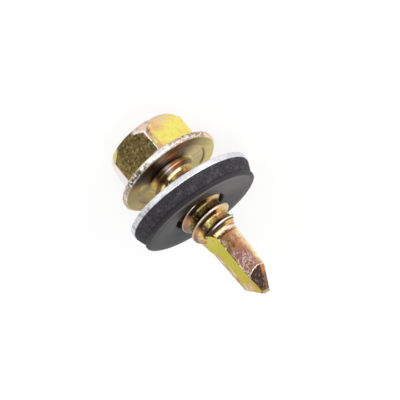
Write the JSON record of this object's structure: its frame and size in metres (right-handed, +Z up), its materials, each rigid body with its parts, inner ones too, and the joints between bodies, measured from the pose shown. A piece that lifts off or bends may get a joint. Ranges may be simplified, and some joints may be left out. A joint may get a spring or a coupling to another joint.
{
  "type": "self drilling screw",
  "caption": "Hexagon flange head screw with a coarse thread, a fluted drill point and a captive metal-backed rubber sealing washer, lying at rest.",
  "frame": {"origin": "on the ground under the middle of the bounding box, the screw lying as it rests on one flat of its hexagon and on the rim of its washer", "axes": "+Z up; the point is toward +X and raised about 21 degrees, the head toward -X"},
  "size_m": [0.0244, 0.016, 0.0155],
  "materials": {
    "zinc_steel": "yellow chromate over zinc, glossy",
    "plate_metal": "bright, lightly worn",
    "seal_rubber": "satin black, rough rim"
  },
  "bodies": {
    "screw": {"screw": "zinc_steel"},
    "sealing_washer": {"washer_plate": "plate_metal", "rubber_seal": "seal_rubber"}
  },
  "joints": [
    {"name": "washer_slide", "type": "slide", "parent": "screw", "child": "sealing_washer", "axis": [0.9321, 0, 0.3621], "range_m": [-0.0022, 0.0045]}
  ]
}
